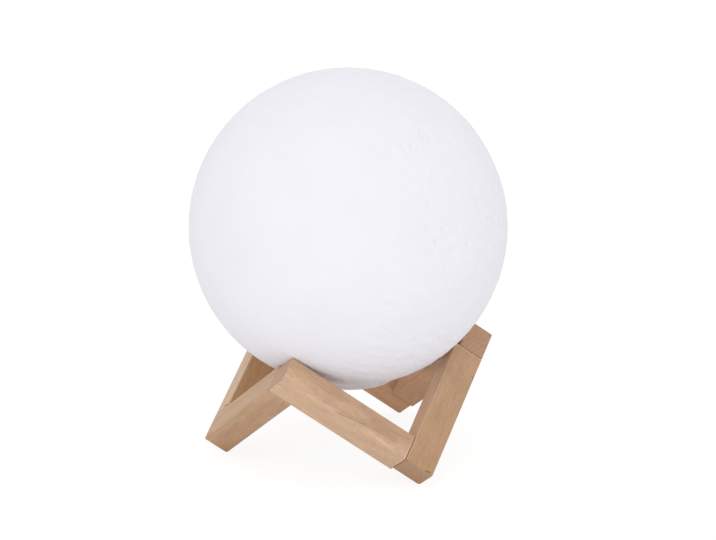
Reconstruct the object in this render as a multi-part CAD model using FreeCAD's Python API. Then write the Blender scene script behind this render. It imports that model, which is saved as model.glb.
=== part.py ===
"""Moon lamp: a white printed globe resting in an open ring of six wooden sticks.

The ring follows the zigzag edges of a cube that stands on one corner: three of its
corners are feet, the other three hold the globe. Each stick ends square against the
side of the next one, the same way all round, and a blind dowel pins each joint.
The globe is a loose, rechargeable lamp: its light, cell and board sit in a round
housing that plugs into the collar at the bottom of the globe.

Millimetres, +Z up. The origin is on the table, in the middle between the three feet.
"""
import FreeCAD, Part
import math
import os

from FreeCAD import Vector

# ---------------------------------------------------------------- stand
stick_width = 15.0            # section, the way that the stick before it points
stick_thickness = 13.0        # section, the way that the next stick points
stick_length = 69.5           # square-cut stick, end to end
stick_rounding = 0.5          # sanded edges and corners
foot_sanding = 0.8            # how deep a foot's corner is sanded flat
dowel_diameter = 6.0
dowel_depth_in_end = 11.0     # hole along the stick, in the end that butts
dowel_depth_in_side = 9.0     # hole across the next stick
dowel_glue_gap = 0.05         # all round the dowel
dowel_end_gap = 0.3           # left for glue at each end of a dowel

# ---------------------------------------------------------------- globe
globe_diameter = 150.0
globe_wall = 1.8
globe_seat_gap = 0.1          # between the globe and the three corners that hold it
collar_bore_radius = 20.0     # hole that takes the base housing
collar_wall = 2.3
collar_height = 7.0

# ---------------------------------------------------------------- base housing
flange_radius = 22.5
flange_thickness = 1.8
flange_rounding = 0.8
housing_fit = 0.2             # housing to collar bore, filled with glue
housing_wall = 1.5
cap_thickness = 2.0
cap_spigot_depth = 2.5
cap_spigot_wall = 1.6
cap_fit = 0.1                 # spigot to housing wall
cap_screw_count = 3
cap_screw_start = 30.0        # angle of the first, halfway between two board posts
cap_boss_radius = 2.6
cap_boss_length = 10.0
cap_boss_inset = 2.4          # boss axis to the housing's inner wall
cap_screw_radius = 1.0
cap_screw_length = 8.0
cap_screw_head_radius = 2.0
cap_screw_head_height = 1.4

# ---------------------------------------------------------------- touch ring
ring_inner_radius = 13.2
ring_outer_radius = 15.6
ring_thickness = 1.2
ring_stands_out = 0.3
ring_fit = 0.1
stud_radius = 1.0
stud_rise = 0.6               # above the housing floor, inside
contact_width = 3.0
contact_thickness = 0.3
contact_pad_length = 2.0
contact_reach = 3.2           # from the end of its solder pad to the stud's middle

# ---------------------------------------------------------------- control board
post_height = 5.6
post_radius = 2.6
post_circle_radius = 13.0
post_count = 3
board_radius = 16.8
board_thickness = 1.2
board_screw_radius = 0.8
board_screw_length = 4.6
board_screw_head_radius = 1.7
board_screw_head_height = 1.1
screw_hole_gap = 0.15         # clearance hole round a screw
pilot_gap = 0.02              # a self-tapping screw in its pilot hole
pilot_spare = 0.8             # pilot hole past the screw's tip

# ---------------------------------------------------------------- charge socket
socket_width = 8.9
socket_height = 3.3
socket_wall = 0.3
socket_y = -6.5
socket_recess = 0.3           # mouth behind the flange's face
socket_gap = 0.2              # housing slot round the socket
tongue_width = 6.6
tongue_thickness = 0.7
tongue_recess = 1.0           # tongue behind the mouth
tongue_block_depth = 1.5
tongue_fit = 0.05

# ---------------------------------------------------------------- charge light
lens_x = 8.0
lens_radius = 1.25
lens_collar_radius = 1.9
lens_collar_height = 0.8
lens_fit = 0.05
lens_led_gap = 0.3
status_led_size = (1.6, 0.8, 0.7)

# ---------------------------------------------------------------- board parts
control_chip_size = (6.0, 6.0, 0.9)
control_chip_place = (4.5, 8.5)
charge_chip_size = (4.9, 3.9, 1.5)
charge_chip_place = (-6.0, 8.2)
connector_size = (6.0, 4.5, 4.0)
connector_place = (-5.0, -8.0)

# ---------------------------------------------------------------- cell
cell_width = 25.0
cell_thickness = 6.0
cell_height = 34.0
cell_rounding = 1.2
pad_width = 20.0
pad_thickness = 3.0
cell_headroom = 4.2           # over the cell, for the bend of its leads
lead_radius = 0.6
lead_pitch = 2.4              # between the two cores of a pair
lead_headroom = 0.9           # lead's axis under the cap
cell_lead_bend = 1.8

# ---------------------------------------------------------------- light
led_board_radius = 11.5
led_board_thickness = 1.6
led_count = 6
led_circle_radius = 6.0
led_size = (3.5, 2.8, 0.9)
led_screw_radius = 0.9
led_screw_length = 3.0
led_screw_head_radius = 1.5
led_screw_head_height = 1.0
led_screw_x = 9.6
dome_radius = 13.0
dome_wall = 1.2
dome_groove_depth = 0.8
dome_fit = 0.1
led_lead_y = -9.2             # where the pair comes up through the light's board
led_lead_start = (3.5, -12.4)
led_lead_bend = 5.0
lead_hole_gap = 0.15

# ---------------------------------------------------------------- worked out
SQRT3 = math.sqrt(3.0)
UP = Vector(0, 0, 1)
cube_edge = stick_length + stick_width
foot_reach = cube_edge - stick_thickness     # a foot's lowest corner, along its cube edge
cube_corner_z = -foot_sanding - foot_reach / SQRT3
globe_radius = globe_diameter / 2

# directions of the three cube edges that meet at the lowest corner of the cube
cube_axes = [Vector(math.sqrt(2 / 3) * math.cos(math.radians(turn)),
                    math.sqrt(2 / 3) * math.sin(math.radians(turn)),
                    1 / SQRT3) for turn in (-60, 60, 180)]


def cube_point(along):
    """A point given by its distances along the three cube edges."""
    point = Vector(0, 0, cube_corner_z)
    for axis, distance in zip(cube_axes, along):
        point += axis * distance
    return point


def globe_centre_height():
    """Height at which the globe touches the three upper corners of the ring.

    The centre is at (q, q, q) along the cube edges. The nearest corner of a stick is
    rounded about (far, near, far), so 2 (q - far)^2 + (q - near)^2 = reach^2.
    """
    far = cube_edge - stick_rounding
    near = stick_thickness - stick_rounding
    reach = globe_radius + globe_seat_gap + stick_rounding
    half_sum = 2 * far + near
    spare = half_sum ** 2 - 3 * (2 * far ** 2 + near ** 2 - reach ** 2)
    q = (half_sum + math.sqrt(spare)) / 3
    return cube_point((q, q, q)).z


globe_z = globe_centre_height()
seat_z = globe_z - math.sqrt(globe_radius ** 2 - flange_radius ** 2)
housing_radius = collar_bore_radius - housing_fit
housing_height = post_height + board_thickness + pad_thickness + cell_height + cell_headroom
housing_inner_radius = housing_radius - housing_wall
flange_face_z = seat_z - flange_thickness
board_z = seat_z + post_height
board_top_z = board_z + board_thickness
cell_z = board_top_z + pad_thickness
cap_z = seat_z + housing_height
cap_top_z = cap_z + cap_thickness
led_board_top_z = cap_top_z + led_board_thickness
cap_boss_circle = housing_inner_radius - cap_boss_inset


# ---------------------------------------------------------------- helpers
def rod(radius, height, x=0.0, y=0.0, z=0.0):
    """Upright cylinder standing at (x, y, z)."""
    return Part.makeCylinder(radius, height, Vector(x, y, z))


def block(size, x, y, z):
    """Box centred on (x, y), standing at z."""
    width, depth, height = size
    return Part.makeBox(width, depth, height, Vector(x - width / 2, y - depth / 2, z))


def turned(profile):
    """Solid of revolution about Z from (radius, z) points."""
    points = [Vector(r, 0, z) for r, z in profile]
    face = Part.Face(Part.makePolygon(points + points[:1]))
    return face.revolve(Vector(0, 0, 0), UP, 360)


def slot(width, height, x, y, z, depth):
    """Upright bar with a section of two half circles joined by straight sides."""
    half = height / 2
    reach = width / 2 - half
    middle = Part.makeBox(2 * reach, height, depth, Vector(x - reach, y - half, z))
    ends = [rod(half, depth, x + side * reach, y, z) for side in (-1, 1)]
    return middle.multiFuse(ends).removeSplitter()


def around(count, radius, start=90.0):
    """Evenly spaced (x, y) places on a circle."""
    places = []
    for k in range(count):
        turn = math.radians(start + 360.0 * k / count)
        places.append((radius * math.cos(turn), radius * math.sin(turn)))
    return places


def screw(radius, length, head_radius, head_height, x, y, seat):
    """Pan-head screw pointing down, its head resting at the height of seat."""
    head = rod(head_radius, head_height, x, y, seat)
    head = head.makeChamfer(head_height * 0.4, [head.Edges[0]])
    return head.fuse(rod(radius, length, x, y, seat - length))


def lead(points, bend):
    """Round insulated core along straight runs joined by arcs."""
    edges = []
    start = points[0]
    for before, corner, after in zip(points, points[1:], points[2:]):
        arriving = (corner - before).normalize()
        leaving = (after - corner).normalize()
        half_turn = arriving.getAngle(leaving) / 2
        setback = bend * math.tan(half_turn)
        first = corner - arriving * setback
        last = corner + leaving * setback
        towards = (leaving - arriving).normalize()
        middle = corner + towards * (bend / math.cos(half_turn) - bend)
        edges.append(Part.LineSegment(start, first).toShape())
        edges.append(Part.Arc(first, middle, last).toShape())
        start = last
    edges.append(Part.LineSegment(start, points[-1]).toShape())
    path = Part.Wire(edges)
    circle = Part.makeCircle(lead_radius, points[0], points[1] - points[0])
    return path.makePipeShell([Part.Wire([circle])], True, True)


# ---------------------------------------------------------------- stand
# The stand is made along X, Y and Z first, as if the cube lay flat, and turned after.
def stood_on_corner(shape):
    """Turn a shape made along the cube's edges, so that the cube stands on its corner."""
    x, y, z = cube_axes
    turn = FreeCAD.Matrix(x.x, y.x, z.x, 0,
                          x.y, y.y, z.y, 0,
                          x.z, y.z, z.z, cube_corner_z,
                          0, 0, 0, 1)
    return shape.transformed(turn)


def ring_walk():
    """Outer corners of the ring and the steps between them, from a foot to a top and on.

    Each step follows one edge of the cube, out and back in turn.
    """
    corner = Vector(cube_edge, 0, 0)
    corners = []
    steps = []
    edges = (Vector(0, 1, 0), Vector(-1, 0, 0), Vector(0, 0, 1))
    for step in edges + tuple(edge * -1 for edge in edges):
        corners.append(corner)
        steps.append(step)
        corner = corner + step * cube_edge
    return corners, steps


def sanded_bar(corner, sides):
    """Bar that fills the box on three sides from a corner, with its edges rounded."""
    opposite = corner + sides[0] + sides[1] + sides[2]
    low = Vector(min(corner.x, opposite.x), min(corner.y, opposite.y), min(corner.z, opposite.z))
    size = [abs(span) for span in opposite - corner]
    bar = Part.makeBox(*size, low)
    return bar.makeFillet(stick_rounding, bar.Edges)


def make_stand():
    """Six sticks, each butting on the side of the next, and their dowels."""
    corners, steps = ring_walk()
    count = len(corners)
    # each stick: its length, then its width back along the stick before, then its
    # thickness on along the next one
    sides = [(steps[k] * stick_length, steps[k - 1] * -stick_width,
              steps[(k + 1) % count] * stick_thickness) for k in range(count)]
    # middle of each stick's far end, where it butts on the next one
    seams = [corners[k] + sides[k][0] + (sides[k][1] + sides[k][2]) * 0.5 for k in range(count)]

    hole_radius = dowel_diameter / 2 + dowel_glue_gap
    below_table = Part.makeBox(4 * cube_edge, 4 * cube_edge, cube_edge,
                               Vector(-2 * cube_edge, -2 * cube_edge, -cube_edge))
    sticks = {}
    dowels = []
    for k in range(count):
        came = steps[k - 1]
        side_hole = Part.makeCylinder(hole_radius, dowel_depth_in_side, seams[k - 1], came)
        end_hole = Part.makeCylinder(hole_radius, dowel_depth_in_end, seams[k], steps[k] * -1)
        stick = sanded_bar(corners[k], sides[k]).cut(side_hole).cut(end_hole)
        sticks[f"stand_stick_{k + 1}"] = stood_on_corner(stick).cut(below_table)
        start = seams[k - 1] - came * (dowel_depth_in_end - dowel_end_gap)
        length = dowel_depth_in_end + dowel_depth_in_side - 2 * dowel_end_gap
        dowels.append(stood_on_corner(Part.makeCylinder(dowel_diameter / 2, length, start, came)))
    sticks["stand_dowels"] = Part.makeCompound(dowels)
    return sticks


# ---------------------------------------------------------------- globe shell
def make_moon_shell():
    """Hollow globe with a flat seat and a bored collar at the bottom."""
    centre = Vector(0, 0, globe_z)
    outside = Part.makeSphere(globe_radius, centre)
    inside = Part.makeSphere(globe_radius - globe_wall, centre)
    collar = rod(collar_bore_radius + collar_wall, collar_height, z=seat_z).common(outside)
    bore = rod(collar_bore_radius, globe_radius, z=seat_z - flange_thickness * 2)
    below_seat = rod(globe_radius, globe_radius, z=seat_z - globe_radius)
    return outside.cut(inside).fuse(collar).cut(bore).cut(below_seat)


# ---------------------------------------------------------------- base housing
def cap_boss_places():
    return around(cap_screw_count, cap_boss_circle, cap_screw_start)


def make_base_housing():
    """Flanged cup: floor with the slot, ring groove and lens hole, posts and bosses."""
    wall_r = housing_inner_radius
    cup = turned([(0, flange_face_z), (flange_radius - flange_rounding, flange_face_z),
                  (flange_radius, flange_face_z + flange_rounding), (flange_radius, seat_z),
                  (housing_radius, seat_z), (housing_radius, cap_z),
                  (wall_r, cap_z), (wall_r, seat_z), (0, seat_z)])
    posts = [rod(post_radius, post_height, x, y, seat_z)
             for x, y in around(post_count, post_circle_radius)]
    boss_z = cap_z - cap_boss_length
    inside = rod(housing_radius - housing_wall / 2, housing_height, z=seat_z)
    bosses = []
    for x, y in cap_boss_places():
        boss = rod(cap_boss_radius, cap_boss_length, x, y, boss_z)
        taper = Part.makeCone(0.2, cap_boss_radius, cap_boss_radius * 1.5,
                              Vector(x, y, boss_z - cap_boss_radius * 1.5))
        bosses.append(boss.fuse(taper).common(inside))
    cup = cup.multiFuse(posts + bosses)

    groove_depth = ring_thickness - ring_stands_out
    groove = turned([(ring_inner_radius - ring_fit, flange_face_z),
                     (ring_outer_radius + ring_fit, flange_face_z),
                     (ring_outer_radius + ring_fit, flange_face_z + groove_depth),
                     (ring_inner_radius - ring_fit, flange_face_z + groove_depth)])
    floor_depth = flange_thickness * 2
    cuts = [groove]
    cuts.append(rod(stud_radius + ring_fit, floor_depth, 0, stud_y(), flange_face_z))
    cuts.append(rod(lens_radius + lens_fit, floor_depth, lens_x, 0, flange_face_z))
    cuts.append(slot(socket_width + 2 * socket_gap, socket_height + 2 * socket_gap,
                     0, socket_y, flange_face_z, floor_depth))
    pilot = board_screw_radius + pilot_gap
    pilot_depth = board_screw_length - board_thickness + pilot_spare
    for x, y in around(post_count, post_circle_radius):
        cuts.append(rod(pilot, pilot_depth, x, y, board_z - pilot_depth))
    pilot = cap_screw_radius + pilot_gap
    pilot_depth = cap_screw_length - cap_thickness + pilot_spare
    for x, y in cap_boss_places():
        cuts.append(rod(pilot, pilot_depth, x, y, cap_z - pilot_depth))
    for tool in cuts:
        cup = cup.cut(tool)
    return cup


def make_housing_cap():
    """Lid of the housing: spigot, groove for the dome, holes for screws and leads."""
    spigot_radius = housing_inner_radius - cap_fit
    spigot_bore = spigot_radius - cap_spigot_wall
    spigot_z = cap_z - cap_spigot_depth
    groove_z = cap_top_z - dome_groove_depth
    cap = turned([(0, cap_z), (spigot_bore, cap_z), (spigot_bore, spigot_z),
                  (spigot_radius, spigot_z), (spigot_radius, cap_z),
                  (housing_radius, cap_z), (housing_radius, cap_top_z),
                  (dome_radius + dome_fit, cap_top_z), (dome_radius + dome_fit, groove_z),
                  (dome_radius - dome_wall - dome_fit, groove_z),
                  (dome_radius - dome_wall - dome_fit, cap_top_z), (0, cap_top_z)])
    for x, y in cap_boss_places():
        cap = cap.cut(rod(cap_boss_radius + cap_fit, cap_spigot_depth, x, y, spigot_z))
        cap = cap.cut(rod(cap_screw_radius + screw_hole_gap, cap_thickness, x, y, cap_z))
    for x, y in led_lead_places():
        cap = cap.cut(rod(lead_radius + lead_hole_gap, cap_thickness, x, y, cap_z))
    for x in (-led_screw_x, led_screw_x):
        depth = led_screw_length - led_board_thickness
        cap = cap.cut(rod(led_screw_radius + pilot_gap, depth, x, 0, cap_top_z - depth))
    return cap


def make_cap_screws():
    """Screws that hold the cap on the housing's bosses."""
    screws = [screw(cap_screw_radius, cap_screw_length, cap_screw_head_radius,
                    cap_screw_head_height, x, y, cap_top_z) for x, y in cap_boss_places()]
    return Part.makeCompound(screws)


# ---------------------------------------------------------------- touch control
def stud_y():
    """The ring's stud stands on the middle line of the ring, at the front."""
    return -(ring_inner_radius + ring_outer_radius) / 2


def make_touch_ring():
    """Metal ring let into the underside, with the stud that reaches the contact."""
    low = flange_face_z - ring_stands_out
    top = low + ring_thickness
    edge = ring_stands_out / 2
    ring = turned([(ring_inner_radius, low + edge), (ring_inner_radius + edge, low),
                   (ring_outer_radius - edge, low), (ring_outer_radius, low + edge),
                   (ring_outer_radius, top), (ring_inner_radius, top)])
    stud_z = low + ring_thickness / 2
    stud = rod(stud_radius, seat_z + stud_rise - stud_z, 0, stud_y(), stud_z)
    return ring.fuse(stud).removeSplitter()


def make_touch_contact():
    """Sprung leaf soldered under the board and pressing on the ring's stud."""
    pad_end = stud_y() + contact_reach
    pad_start = pad_end + contact_pad_length
    tip_start = stud_y() + stud_radius
    tip_end = stud_y() - stud_radius
    tip_z = seat_z + stud_rise
    side = -contact_width / 2
    outline = [(pad_start, board_z), (pad_end, board_z),
               (tip_start, tip_z + contact_thickness), (tip_end, tip_z + contact_thickness),
               (tip_end, tip_z), (tip_start, tip_z),
               (pad_end, board_z - contact_thickness), (pad_start, board_z - contact_thickness)]
    points = [Vector(side, y, z) for y, z in outline]
    face = Part.Face(Part.makePolygon(points + points[:1]))
    return face.extrude(Vector(contact_width, 0, 0))


# ---------------------------------------------------------------- control board
def make_control_board():
    """Round board on the posts, with holes for its screws and for the light's leads."""
    board = rod(board_radius, board_thickness, z=board_z)
    for x, y in around(post_count, post_circle_radius):
        hole = rod(board_screw_radius + screw_hole_gap, board_thickness, x, y, board_z)
        board = board.cut(hole)
    return board


def make_board_screws():
    """Screws that hold the board on the housing's posts."""
    screws = [screw(board_screw_radius, board_screw_length, board_screw_head_radius,
                    board_screw_head_height, x, y, board_top_z)
              for x, y in around(post_count, post_circle_radius)]
    return Part.makeCompound(screws)


def make_charge_socket():
    """Metal shell of the charging socket, mouth down, closed at the board."""
    mouth_z = flange_face_z + socket_recess
    depth = board_z - mouth_z
    outside = slot(socket_width, socket_height, 0, socket_y, mouth_z, depth)
    inside = slot(socket_width - 2 * socket_wall, socket_height - 2 * socket_wall,
                  0, socket_y, mouth_z, depth - socket_wall)
    return outside.cut(inside)


def make_socket_tongue():
    """Insulator inside the socket: a block against its back and the tongue."""
    mouth_z = flange_face_z + socket_recess
    back_z = board_z - socket_wall
    side = socket_wall + tongue_fit
    insert = slot(socket_width - 2 * side, socket_height - 2 * side,
                  0, socket_y, back_z - tongue_block_depth, tongue_block_depth)
    tongue_z = mouth_z + tongue_recess
    tongue = block((tongue_width, tongue_thickness, back_z - tongue_z), 0, socket_y, tongue_z)
    return insert.fuse(tongue)


def make_status_led():
    """Charge light, under the board and over its lens."""
    return block(status_led_size, lens_x, 0, board_z - status_led_size[2])


def make_status_lens():
    """Light pipe from the charge light to the underside, with a collar on the floor."""
    top = board_z - status_led_size[2] - lens_led_gap
    pipe = rod(lens_radius, top - flange_face_z, lens_x, 0, flange_face_z)
    return pipe.fuse(rod(lens_collar_radius, lens_collar_height, lens_x, 0, seat_z))


def make_control_chip():
    return block(control_chip_size, *control_chip_place, board_top_z)


def make_charge_chip():
    return block(charge_chip_size, *charge_chip_place, board_top_z)


def make_cell_connector():
    return block(connector_size, *connector_place, board_top_z)


# ---------------------------------------------------------------- cell
def make_cell():
    """Flat rechargeable cell, standing on edge, with its long edges rounded."""
    cell = block((cell_width, cell_thickness, cell_height), 0, 0, cell_z)
    upright = [edge for edge in cell.Edges if abs(edge.tangentAt(edge.FirstParameter).z) > 0.9]
    return cell.makeFillet(cell_rounding, upright)


def make_cell_pads():
    """Foam under the cell, and over it beside its leads."""
    cell_top = cell_z + cell_height
    lower = block((pad_width, cell_thickness, pad_thickness), 0, 0, board_top_z)
    upper = block((pad_width / 2, cell_thickness, cell_headroom), pad_width / 4, 0, cell_top)
    return Part.makeCompound([lower, upper])


def make_cell_leads():
    """Pair of cores from the top of the cell down to its connector."""
    x, y = connector_place
    high = cap_z - lead_headroom
    pair = []
    for side in (-lead_pitch / 2, lead_pitch / 2):
        points = [Vector(x + side, 0, cell_z + cell_height), Vector(x + side, 0, high),
                  Vector(x + side, y, high), Vector(x + side, y, board_top_z + connector_size[2])]
        pair.append(lead(points, cell_lead_bend))
    return Part.makeCompound(pair)


# ---------------------------------------------------------------- light
def led_lead_places():
    """Where the pair of leads comes up through the cap and the light's board."""
    return [(led_lead_start[0] + side, led_lead_y) for side in (-lead_pitch / 2, lead_pitch / 2)]


def make_led_leads():
    """Pair of cores from the control board up to the light's board."""
    low_bend_z = cell_z + cell_height * 0.3
    high_bend_z = cell_z + cell_height * 0.7
    pair = []
    for x, y in led_lead_places():
        points = [Vector(x, led_lead_start[1], board_top_z), Vector(x, led_lead_start[1], low_bend_z),
                  Vector(x, y, high_bend_z), Vector(x, y, led_board_top_z)]
        pair.append(lead(points, led_lead_bend))
    return Part.makeCompound(pair)


def make_led_board():
    """Round board of the light, on the cap inside the dome."""
    board = rod(led_board_radius, led_board_thickness, z=cap_top_z)
    for x, y in led_lead_places():
        board = board.cut(rod(lead_radius + lead_hole_gap, led_board_thickness, x, y, cap_top_z))
    for x in (-led_screw_x, led_screw_x):
        hole = rod(led_screw_radius + screw_hole_gap, led_board_thickness, x, 0, cap_top_z)
        board = board.cut(hole)
    return board


def make_led_screws():
    """Screws that hold the light's board on the cap."""
    screws = [screw(led_screw_radius, led_screw_length, led_screw_head_radius,
                    led_screw_head_height, x, 0, led_board_top_z)
              for x in (-led_screw_x, led_screw_x)]
    return Part.makeCompound(screws)


def make_leds():
    """Ring of white emitters on the light's board."""
    emitters = [block(led_size, x, y, led_board_top_z)
                for x, y in around(led_count, led_circle_radius)]
    return Part.makeCompound(emitters)


def make_led_dome():
    """Frosted dome over the emitters, standing in the cap's groove."""
    foot_z = cap_top_z - dome_groove_depth
    inner = dome_radius - dome_wall
    outside = Part.makeSphere(dome_radius, Vector(0, 0, cap_top_z))
    inside = Part.makeSphere(inner, Vector(0, 0, cap_top_z))
    foot = rod(dome_radius, dome_groove_depth, z=foot_z)
    bore = rod(inner, dome_groove_depth, z=foot_z)
    below = rod(dome_radius, dome_radius, z=cap_top_z - dome_radius)
    return outside.cut(below).fuse(foot).cut(inside).cut(bore)


# ---------------------------------------------------------------- pieces
def make_pieces():
    """Every separate piece of the lamp by its name."""
    pieces = make_stand()
    pieces.update({
        "moon_shell": make_moon_shell(),
        "base_housing": make_base_housing(),
        "housing_cap": make_housing_cap(),
        "cap_screws": make_cap_screws(),
        "touch_ring": make_touch_ring(),
        "touch_contact": make_touch_contact(),
        "control_board": make_control_board(),
        "board_screws": make_board_screws(),
        "charge_socket": make_charge_socket(),
        "socket_tongue": make_socket_tongue(),
        "status_led": make_status_led(),
        "status_lens": make_status_lens(),
        "control_chip": make_control_chip(),
        "charge_chip": make_charge_chip(),
        "cell_connector": make_cell_connector(),
        "battery_cell": make_cell(),
        "cell_pads": make_cell_pads(),
        "cell_leads": make_cell_leads(),
        "led_leads": make_led_leads(),
        "led_board": make_led_board(),
        "led_board_screws": make_led_screws(),
        "leds": make_leds(),
        "led_dome": make_led_dome(),
    })
    return pieces


def main():
    os.makedirs("parts", exist_ok=True)
    for name, shape in make_pieces().items():
        solids = shape.Solids
        valid = shape.isValid() and all(solid.Volume > 0 for solid in solids)
        print(f"{name:18s} solids {len(solids)}  volume {shape.Volume:9.1f} mm3  valid {valid}")
        shape.exportStep(f"parts/{name}.step")
    print(f"globe centre {globe_z:.2f}, seat {seat_z:.2f}, top {globe_z + globe_radius:.2f}")


main()
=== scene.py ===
# %% [markdown]
# # A moon lamp: printed globe on a ring of six beech sticks
#
# The construction is done already: every stick, screw and shell has its real size
# and place. This lesson dresses it. It builds the cratered skin of the globe, gives
# each stick its own run of wood grain, finishes the small parts underneath and
# inside, and lights everything softly on a pale floor. All lengths are in metres.

import math
from collections import namedtuple

import bpy
import numpy as np
from mathutils import Matrix, Vector


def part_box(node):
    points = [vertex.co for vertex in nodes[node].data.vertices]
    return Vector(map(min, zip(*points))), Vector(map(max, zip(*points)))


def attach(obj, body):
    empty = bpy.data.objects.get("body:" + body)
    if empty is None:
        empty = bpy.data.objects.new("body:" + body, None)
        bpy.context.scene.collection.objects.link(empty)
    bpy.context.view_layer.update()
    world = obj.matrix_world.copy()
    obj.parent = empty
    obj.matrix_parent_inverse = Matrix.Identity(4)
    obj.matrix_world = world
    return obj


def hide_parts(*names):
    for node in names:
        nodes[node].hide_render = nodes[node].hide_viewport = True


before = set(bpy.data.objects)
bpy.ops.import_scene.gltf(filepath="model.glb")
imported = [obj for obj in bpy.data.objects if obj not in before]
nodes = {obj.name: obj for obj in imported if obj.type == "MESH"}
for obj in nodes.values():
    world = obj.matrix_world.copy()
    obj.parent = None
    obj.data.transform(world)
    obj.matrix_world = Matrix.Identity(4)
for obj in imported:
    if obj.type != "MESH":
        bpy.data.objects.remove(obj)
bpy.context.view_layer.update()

# %% [markdown]
# ## Measure what the looks depend on
#
# The skin of the globe has to fit the shell that it covers. Its numbers could be
# typed in, but they would be wrong as soon as the lamp changed. So the globe's
# middle and radius, and the flat seat under it, are read from the built shell.

# %% The globe's size and place
shell_low, shell_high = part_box("moon_shell")
globe_radius = (shell_high.x - shell_low.x) / 2
globe_centre = Vector((0, 0, shell_high.z - globe_radius))
seat_z = shell_low.z                      # flat ring that the base's flange sits on
print("globe radius", round(globe_radius, 5), "centre", round(globe_centre.z, 5))
print("seat of the base at", round(seat_z, 5))

# %% [markdown]
# ## Where the camera stands
#
# The lamp was photographed with a long lens from a little above, turned about four
# degrees from the line that meets the ring face on. From close by, the front sticks
# would look much bigger than the back ones. From over a metre away they look alike,
# as they do in the picture. The direction is written as two angles, one round the
# lamp and one up, because that is how a photographer would walk round it.

# %% Camera's place
camera_azimuth = math.radians(-94.202)
camera_elevation = math.radians(15.498)
camera_distance = 1.370

towards_camera = Vector((math.cos(camera_azimuth) * math.cos(camera_elevation),
                         math.sin(camera_azimuth) * math.cos(camera_elevation),
                         math.sin(camera_elevation)))
camera_place = globe_centre + towards_camera * camera_distance
print("camera at", [round(x, 4) for x in camera_place])

# %% [markdown]
# ## Where the camera looks
#
# The globe isn't in the middle of the picture, but above it and a little to the left.
# A shifted lens could do that. It is simpler to aim slightly below and beside the
# globe's middle, and over so small an angle nothing leans that stood straight.

# %% Camera
camera_lens = 146.69                      # millimetres, as lenses are sold
sensor_width = 36.0                       # millimetres
nearest_seen = 0.05
aim_turn_right = math.radians(0.194)
aim_tilt_down = math.radians(0.844)

sight = -towards_camera
sight_right = sight.cross(Vector((0, 0, 1))).normalized()
sight_up = sight_right.cross(sight)
aim = sight + sight_right * math.tan(aim_turn_right) - sight_up * math.tan(aim_tilt_down)


def put_in_scene(name, data):
    """A new object that shows this data."""
    made = bpy.data.objects.new(name, data)
    bpy.context.scene.collection.objects.link(made)
    return made


camera_data = bpy.data.cameras.new("camera")
camera_data.lens = camera_lens
camera_data.sensor_width = sensor_width
camera_data.clip_start = nearest_seen
camera = put_in_scene("camera", camera_data)
camera.location = camera_place
camera.rotation_euler = aim.to_track_quat("-Z", "Y").to_euler()
bpy.context.scene.camera = camera
print("the picture is", round(math.degrees(camera_data.angle), 1), "degrees wide")

# %% [markdown]
# ## The globe's profile
#
# The real globe is printed in white plastic, and its relief is real: low rims, shallow
# bowls and smooth plains that a finger can feel. Paint or bump alone would leave the
# outline perfectly round, so the relief is made in the mesh. A ready-made ball could be
# cut open below, but a turned form follows the built shell from the start: rings of
# points run from the top of the globe down to its flat seat, in through the collar's
# bore, and back up the inside.

# %% Rings of the globe's profile
around_count = 840                        # points in each ring
outer_rings = 380
inner_rings = 24
wall = 0.0018                             # the globe's printed wall
bore_radius = 0.0200                      # the hole in the collar
collar_wall = 0.0023
collar_height = 0.0070
inner_radius = globe_radius - wall
collar_radius = bore_radius + collar_wall
collar_top = seat_z + collar_height
join_z = globe_centre.z - math.sqrt(inner_radius ** 2 - collar_radius ** 2)
seat_angle = math.acos(max(-1.0, (seat_z - globe_centre.z) / globe_radius))
inner_angle = math.acos((join_z - globe_centre.z) / inner_radius)


def arc_point(radius, angle, outer):
    """(distance from the axis, z, outer) on an arc about the globe's middle."""
    return radius * math.sin(angle), globe_centre.z + radius * math.cos(angle), outer


def profile_points():
    """Down the outside, where outer is 1, through the bore and up the inside."""
    outside = [arc_point(globe_radius, seat_angle * k / outer_rings, 1.0)
               for k in range(1, outer_rings + 1)]
    collar = [(bore_radius, seat_z, 0.0), (bore_radius, collar_top, 0.0),
              (collar_radius, collar_top, 0.0)]
    inside = [arc_point(inner_radius, inner_angle * (1 - k / inner_rings), 0.0)
              for k in range(inner_rings)]
    return outside + collar + inside


profile = np.array(profile_points())
print("rings", len(profile), "of them outside", outer_rings)

# %% [markdown]
# ## Smooth and rough ground
#
# The globe in the picture is smooth in front and at the left, and worked at the right.
# Two kinds of ground could be made and joined, but the join would show. One number
# that falls gently from 1 towards the smooth side fades all of the relief together.

# %% Smooth and rough ground
smooth_side = np.array([-0.75, -0.62, 0.10])
smooth_side /= np.linalg.norm(smooth_side)
smooth_share = 0.82                       # how much of the relief is lost there
fade_from = 0.10                          # as the cosine of the angle from the smooth side
fade_width = 0.62


def roughness_of(directions):
    """1 on the uplands, falling to a small share on the smooth side."""
    towards = np.clip((directions @ smooth_side - fade_from) / fade_width, 0, 1)
    return 1 - smooth_share * towards ** 2 * (3 - 2 * towards)


print("relief left on the smooth side:", round(float(roughness_of(smooth_side)), 2))

# %% [markdown]
# ## Scatter the craters
#
# A moon has many small craters and few large ones. They could be set one by one, but
# well over a thousand are needed, so a seeded generator scatters them, and the same
# moon comes out every time. Heights are drawn evenly, because equal slices of a ball
# have equal areas. Bowls that are wider than a few millimetres are kept off the smooth
# side. A fresh crater is deep and an old one is worn, and a wide bowl is shallower for
# its width than a narrow one.

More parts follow.
